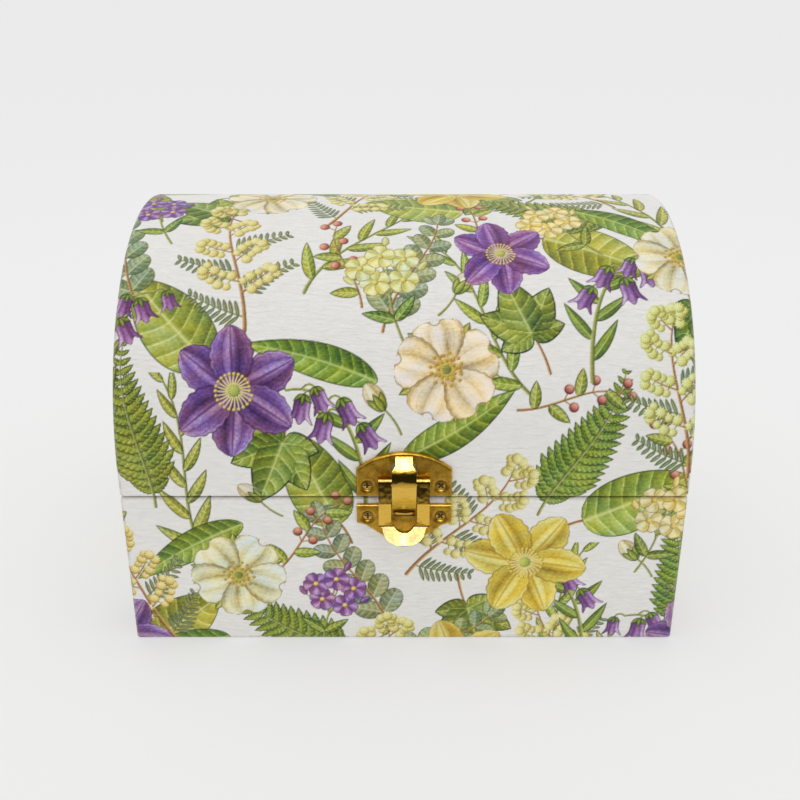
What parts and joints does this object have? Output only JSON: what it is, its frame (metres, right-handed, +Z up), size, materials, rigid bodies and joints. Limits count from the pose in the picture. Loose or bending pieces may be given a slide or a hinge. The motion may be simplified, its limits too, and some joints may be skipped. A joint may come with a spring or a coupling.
{
  "type": "storage chest",
  "caption": "Small keepsake chest with straight walls, a half-barrel lid on rear hinges, an embossed printed paper covering and a stamped hasp latch on the front.",
  "frame": {"origin": "middle of the underside", "axes": "+X along the width, to the right seen from the front; +Y to the back, so the front faces -Y; +Z up"},
  "size_m": [0.22, 0.1925, 0.1624],
  "materials": {
    "board": "bare fibreboard",
    "cover_paper": "printed, embossed with a fine ripple, semi-gloss",
    "bottom_paper": "plain, matt",
    "latch_brass": "brass-plated, polished",
    "hinge_brass": "brass-plated, satin",
    "screw_brass": "brass-plated, polished"
  },
  "bodies": {
    "base": {"base_front_wall": "board", "base_back_wall": "board", "base_left_end": "board", "base_right_end": "board", "base_floor": "board", "base_paper_cover": "cover_paper", "bottom_sheet": "bottom_paper", "catch_plate": "latch_brass", "left_hinge_base_leaf": "hinge_brass", "left_hinge_pin": "hinge_brass", "right_hinge_base_leaf": "hinge_brass", "right_hinge_pin": "hinge_brass", "catch_plate_screws": "screw_brass", "hinge_base_screws": "screw_brass"},
    "lid": {"lid_shell": "board", "lid_left_end": "board", "lid_right_end": "board", "lid_front_rail": "board", "lid_back_rail": "board", "lid_paper_cover": "cover_paper", "hasp_plate": "latch_brass", "hasp_plate_screws": "screw_brass", "left_hinge_lid_leaf": "hinge_brass", "right_hinge_lid_leaf": "hinge_brass", "hinge_lid_screws": "screw_brass"},
    "hasp": {"hasp": "latch_brass"}
  },
  "joints": [
    {"name": "lid_hinge", "type": "hinge", "parent": "base", "child": "lid", "pos_m": [0, 0.0909, 0.0652], "axis": [-1, 0, 0], "range_deg": [0, 105]},
    {"name": "hasp_hinge", "type": "hinge", "parent": "lid", "child": "hasp", "pos_m": [0, -0.0928, 0.0738], "axis": [-1, 0, 0], "range_deg": [-4, 150]}
  ]
}
